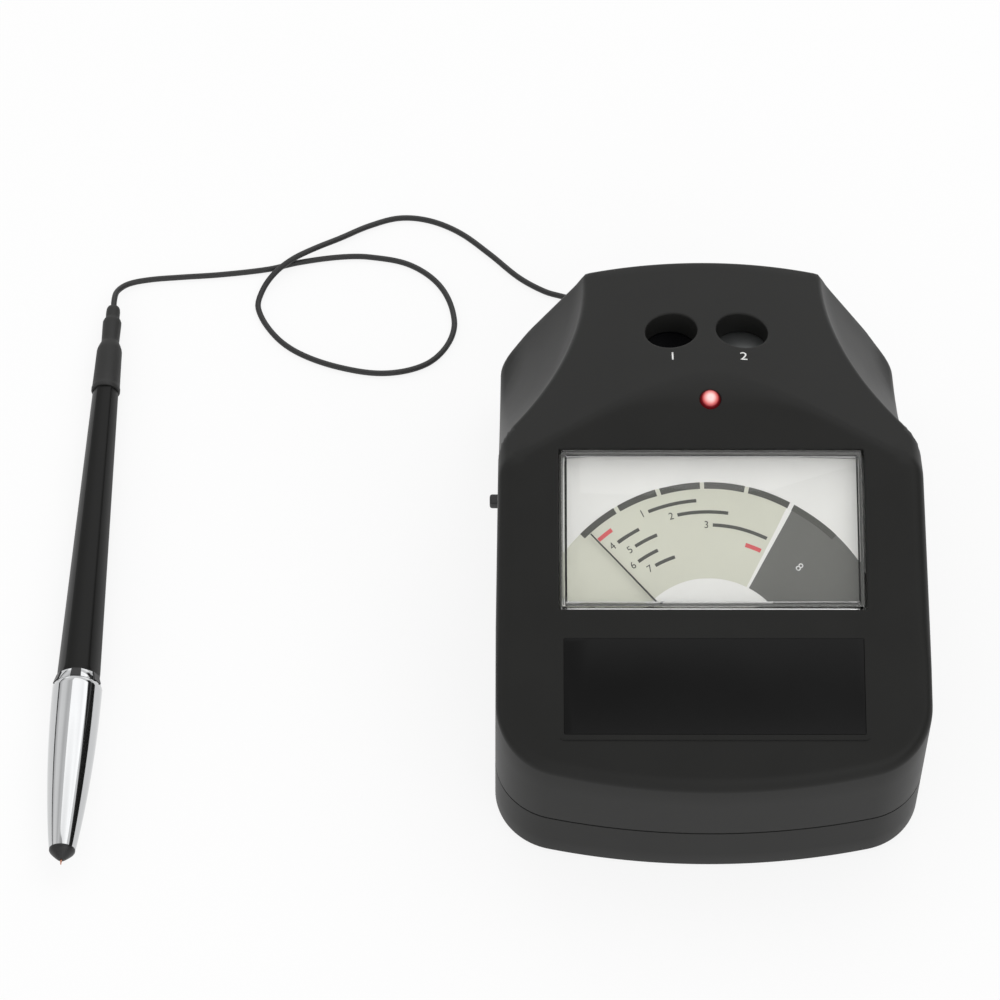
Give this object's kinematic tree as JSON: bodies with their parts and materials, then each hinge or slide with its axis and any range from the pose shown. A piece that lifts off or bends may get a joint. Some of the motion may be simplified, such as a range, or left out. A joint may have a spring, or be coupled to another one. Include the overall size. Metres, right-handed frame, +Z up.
{
  "type": "gemstone tester",
  "caption": "Counter-top thermal gemstone tester: sloping moving-coil meter panel, ready lamp, reference wells on the hump and a sprung pen probe on a thin cord.",
  "frame": {"origin": "centre of the housing's base, on the plane of its four feet", "axes": "+Z up, +X to the right and -Y towards the user, who faces the meter panel"},
  "size_m": [0.2352, 0.2218, 0.0778],
  "materials": {
    "shell_black": "moulded satin ABS",
    "tray_black": "moulded satin ABS",
    "rubber_black": "moulded rubber",
    "plate_black": "gloss printed plate, bare",
    "clear_acrylic": "polished clear acrylic",
    "dial_card": "matt printed card",
    "needle_black": "matt black paint",
    "coil_copper": "enamelled copper wire",
    "magnet_grey": "sintered magnet",
    "iron": "turned soft iron",
    "brass": "turned brass",
    "jewel": "synthetic jewel",
    "board_green": "solder-masked board",
    "component_black": "moulded component bodies",
    "screw_steel": "zinc-plated steel",
    "case_black": "moulded plastic",
    "lamp_red": "red tinted epoxy",
    "dark_glass": "polished dark glass",
    "disc_metal": "lapped metal",
    "cell_blue": "plain sleeve",
    "contact_steel": "nickel-plated spring steel",
    "socket_black": "moulded plastic",
    "cord_black": "soft sheath",
    "barrel_black": "moulded satin ABS",
    "chrome": "bright chrome plate",
    "tip_copper": "bare copper"
  },
  "bodies": {
    "housing": {"top_shell": "shell_black", "bottom_shell": "tray_black", "rubber_feet": "rubber_black", "case_screws": "screw_steel", "nameplate": "plate_black", "meter_window": "clear_acrylic", "meter_case": "case_black", "meter_screws": "screw_steel", "dial_plate": "dial_card", "meter_magnet": "magnet_grey", "meter_core": "iron", "meter_bridge": "brass", "jewel_bearings": "jewel", "circuit_board": "board_green", "board_components": "component_black", "board_screws": "screw_steel", "switch_body": "component_black", "ready_led": "lamp_red", "led_holder": "case_black", "glass_test_disc": "dark_glass", "cal_test_disc": "disc_metal", "disc_carrier": "case_black", "carrier_screws": "screw_steel", "battery_1": "cell_blue", "battery_2": "cell_blue", "battery_3": "cell_blue", "battery_contacts": "contact_steel", "power_socket": "socket_black", "socket_pin": "contact_steel", "cord_gland": "rubber_black", "probe_cord": "cord_black"},
    "needle": {"meter_needle": "needle_black", "moving_coil": "coil_copper"},
    "switch": {"switch_knob": "case_black"},
    "door": {"battery_door": "tray_black"},
    "pen": {"pen_boot": "rubber_black", "pen_barrel": "barrel_black", "pen_ring": "case_black", "nose_cone": "chrome", "pen_insert": "brass", "tip_collar": "case_black", "tip_guide": "iron", "tip_spring": "contact_steel"},
    "tip": {"probe_tip": "tip_copper"}
  },
  "joints": [
    {"name": "needle_swing", "type": "hinge", "parent": "housing", "child": "needle", "pos_m": [0, -0.04314, 0.0547], "axis": [0, 0.309, -0.9511], "range_deg": [-2.5, 89], "stiffness_Nm_per_rad": 0.0004},
    {"name": "switch_slide", "type": "slide", "parent": "housing", "child": "switch", "axis": [0, 1, 0], "range_m": [0, 0.004]},
    {"name": "door_slide", "type": "slide", "parent": "housing", "child": "door", "axis": [0, 1, 0], "range_m": [0, 0.052]},
    {"name": "pen_lift", "type": "slide", "parent": "housing", "child": "pen", "axis": [0, 0, 1], "range_m": [0, 0.03]},
    {"name": "tip_press", "type": "slide", "parent": "pen", "child": "tip", "axis": [0.0201, 0.9995, -0.0231], "range_m": [0, 0.0012], "stiffness_N_per_m": 600, "springref_m": -0.001}
  ]
}
